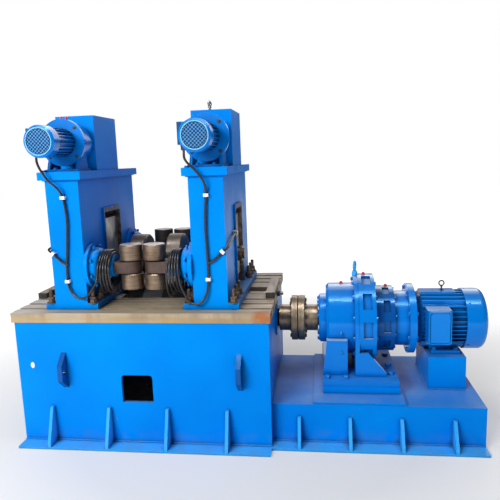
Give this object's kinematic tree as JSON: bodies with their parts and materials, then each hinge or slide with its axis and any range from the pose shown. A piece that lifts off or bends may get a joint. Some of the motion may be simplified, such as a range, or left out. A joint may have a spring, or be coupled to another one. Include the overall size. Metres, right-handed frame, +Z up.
{
  "type": "h-beam straightening machine",
  "caption": "H-beam flange straightening machine: slotted table on a welded base, sliding press columns with jack motors, web guide rollers and a gear drive on its own base.",
  "frame": {"origin": "on the floor under the middle of the table, where the beam's centre line crosses the drive axis", "axes": "+Z up; +Y along the beam, away from the viewer; +X along the drive axis towards the motor"},
  "size_m": [2.486, 1.141, 1.706],
  "materials": {
    "blue_paint": "semi-gloss",
    "gloss_blue": "gloss",
    "table_steel": "machined, stained",
    "dark_steel": "scaled",
    "bare_steel": "turned",
    "rusty_steel": "turned, lightly rusted",
    "white_plastic": "matte",
    "black_rubber": "satin"
  },
  "bodies": {
    "base": {"floor_plate": "blue_paint", "base_front_wall": "blue_paint", "base_back_wall": "blue_paint", "base_left_wall": "blue_paint", "base_right_wall": "blue_paint", "gussets": "blue_paint", "lifting_lugs": "blue_paint", "table_plate": "table_steel", "screw_brackets": "dark_steel", "shaft_bearings": "blue_paint", "drive_top_plate": "blue_paint", "drive_side_walls": "blue_paint", "drive_end_wall": "blue_paint", "reducer_plinth": "blue_paint", "reducer_housing": "gloss_blue", "pin_gear_ring": "gloss_blue", "second_stage_ring": "gloss_blue", "motor_adapter": "gloss_blue", "drive_motor": "gloss_blue", "drive_motor_cowl": "gloss_blue", "drive_terminal_box": "gloss_blue", "motor_stand": "blue_paint"},
    "drive_line": {"main_roller": "bare_steel", "coupling_left_half": "rusty_steel", "coupling_right_half": "rusty_steel"},
    "left_column": {"left_column_frame": "blue_paint", "left_foot_plate": "blue_paint", "left_cap_plate": "blue_paint", "left_gear_housing": "gloss_blue", "left_jack_motor": "gloss_blue", "left_jack_cowl": "gloss_blue", "left_screws": "bare_steel", "left_guide_bosses": "blue_paint", "left_guide_arms": "rusty_steel", "left_cable_clips": "white_plastic", "left_motor_cable": "black_rubber", "left_branch_cable": "black_rubber", "left_cable_coil": "black_rubber"},
    "left_slide": {"left_press_slide": "bare_steel"},
    "left_press": {"left_press_roller": "bare_steel"},
    "left_front_guide": {"left_front_guide_rollers": "rusty_steel"},
    "left_back_guide": {"left_back_guide_rollers": "rusty_steel"},
    "right_column": {"right_column_frame": "blue_paint", "right_foot_plate": "blue_paint", "right_cap_plate": "blue_paint", "right_gear_housing": "gloss_blue", "right_jack_motor": "gloss_blue", "right_jack_cowl": "gloss_blue", "right_screws": "bare_steel", "right_guide_bosses": "blue_paint", "right_guide_arms": "rusty_steel", "right_cable_clips": "white_plastic", "right_motor_cable": "black_rubber", "right_branch_cable": "black_rubber", "right_cable_coil": "black_rubber"},
    "right_slide": {"right_press_slide": "bare_steel"},
    "right_press": {"right_press_roller": "bare_steel"},
    "right_front_guide": {"right_front_guide_rollers": "rusty_steel"},
    "right_back_guide": {"right_back_guide_rollers": "rusty_steel"}
  },
  "joints": [
    {"name": "drive_spin", "type": "hinge", "parent": "base", "child": "drive_line", "pos_m": [0, 0, 0.55], "axis": [1, 0, 0], "continuous": true},
    {"name": "left_column_travel", "type": "slide", "parent": "base", "child": "left_column", "axis": [-1, 0, 0], "range_m": [0, 0.09]},
    {"name": "left_press_travel", "type": "slide", "parent": "left_column", "child": "left_slide", "axis": [0, 0, 1], "range_m": [-0.03, 0.035]},
    {"name": "left_press_spin", "type": "hinge", "parent": "left_slide", "child": "left_press", "pos_m": [-0.368, 0, 0.925], "axis": [1, 0, 0], "continuous": true},
    {"name": "left_front_guide_spin", "type": "hinge", "parent": "left_column", "child": "left_front_guide", "pos_m": [-0.063, -0.31, 0.918], "axis": [0, 0, 1], "continuous": true},
    {"name": "left_back_guide_spin", "type": "hinge", "parent": "left_column", "child": "left_back_guide", "pos_m": [-0.063, 0.31, 0.918], "axis": [0, 0, 1], "continuous": true},
    {"name": "right_column_travel", "type": "slide", "parent": "base", "child": "right_column", "axis": [1, 0, 0], "range_m": [0, 0.09]},
    {"name": "right_press_travel", "type": "slide", "parent": "right_column", "child": "right_slide", "axis": [0, 0, 1], "range_m": [-0.03, 0.035]},
    {"name": "right_press_spin", "type": "hinge", "parent": "right_slide", "child": "right_press", "pos_m": [0.368, 0, 0.925], "axis": [1, 0, 0], "continuous": true},
    {"name": "right_front_guide_spin", "type": "hinge", "parent": "right_column", "child": "right_front_guide", "pos_m": [0.063, -0.31, 0.918], "axis": [0, 0, 1], "continuous": true},
    {"name": "right_back_guide_spin", "type": "hinge", "parent": "right_column", "child": "right_back_guide", "pos_m": [0.063, 0.31, 0.918], "axis": [0, 0, 1], "continuous": true}
  ]
}
